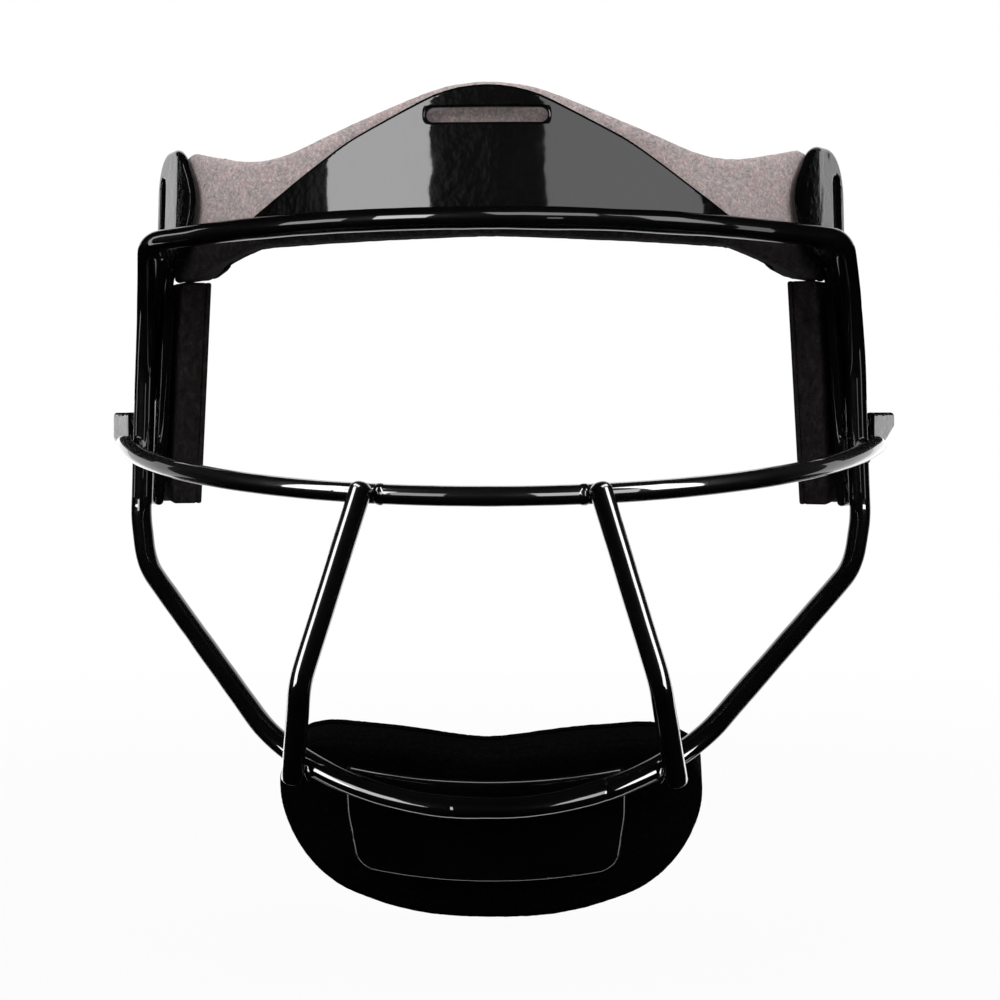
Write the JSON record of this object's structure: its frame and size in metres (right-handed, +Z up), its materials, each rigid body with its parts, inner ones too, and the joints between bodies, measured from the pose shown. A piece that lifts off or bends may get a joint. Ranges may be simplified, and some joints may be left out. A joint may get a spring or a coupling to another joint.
{
  "type": "softball face guard",
  "caption": "Open welded wire face guard with sheet forehead, temple and chin plates, strap slots and removable pads at forehead, temples and chin.",
  "frame": {"origin": "centre of the wearer's head at temple level: on the mid plane, level with the feet of the side runs, between the temple pads", "axes": "+X to the right of the picture (the wearer's left), -Y out of the face towards the front, +Z up"},
  "size_m": [0.2088, 0.1031, 0.2027],
  "materials": {
    "vinyl_black": "thick glossy black vinyl dip coat over welded steel",
    "knit_heather": "heather knit cover, fine ribbed texture",
    "foam_black": "closed-cell foam skinned with brushed black tricot",
    "lining_black": "soft brushed black lining",
    "fastener_black": "black hook-and-loop fastener"
  },
  "bodies": {
    "root": {"brow_wire": "vinyl_black", "jaw_wire_left": "vinyl_black", "jaw_wire_right": "vinyl_black", "chin_bar": "vinyl_black", "middle_bar": "vinyl_black", "inner_bar_left": "vinyl_black", "inner_bar_right": "vinyl_black", "forehead_plate": "vinyl_black", "side_plate_left": "vinyl_black", "side_plate_right": "vinyl_black", "strap_tab_left": "vinyl_black", "strap_tab_right": "vinyl_black", "chin_plate": "vinyl_black", "forehead_pad_facing": "knit_heather", "forehead_pad_foam": "foam_black", "temple_pad_left": "foam_black", "temple_pad_right": "foam_black", "chin_pad_foam": "foam_black", "forehead_pad_lining": "lining_black", "temple_lining_left": "lining_black", "temple_lining_right": "lining_black", "chin_pad_lining": "lining_black", "chin_pad_facing": "lining_black", "forehead_fastener": "fastener_black", "temple_fastener_left": "fastener_black", "temple_fastener_right": "fastener_black", "chin_fastener": "fastener_black"}
  },
  "joints": []
}
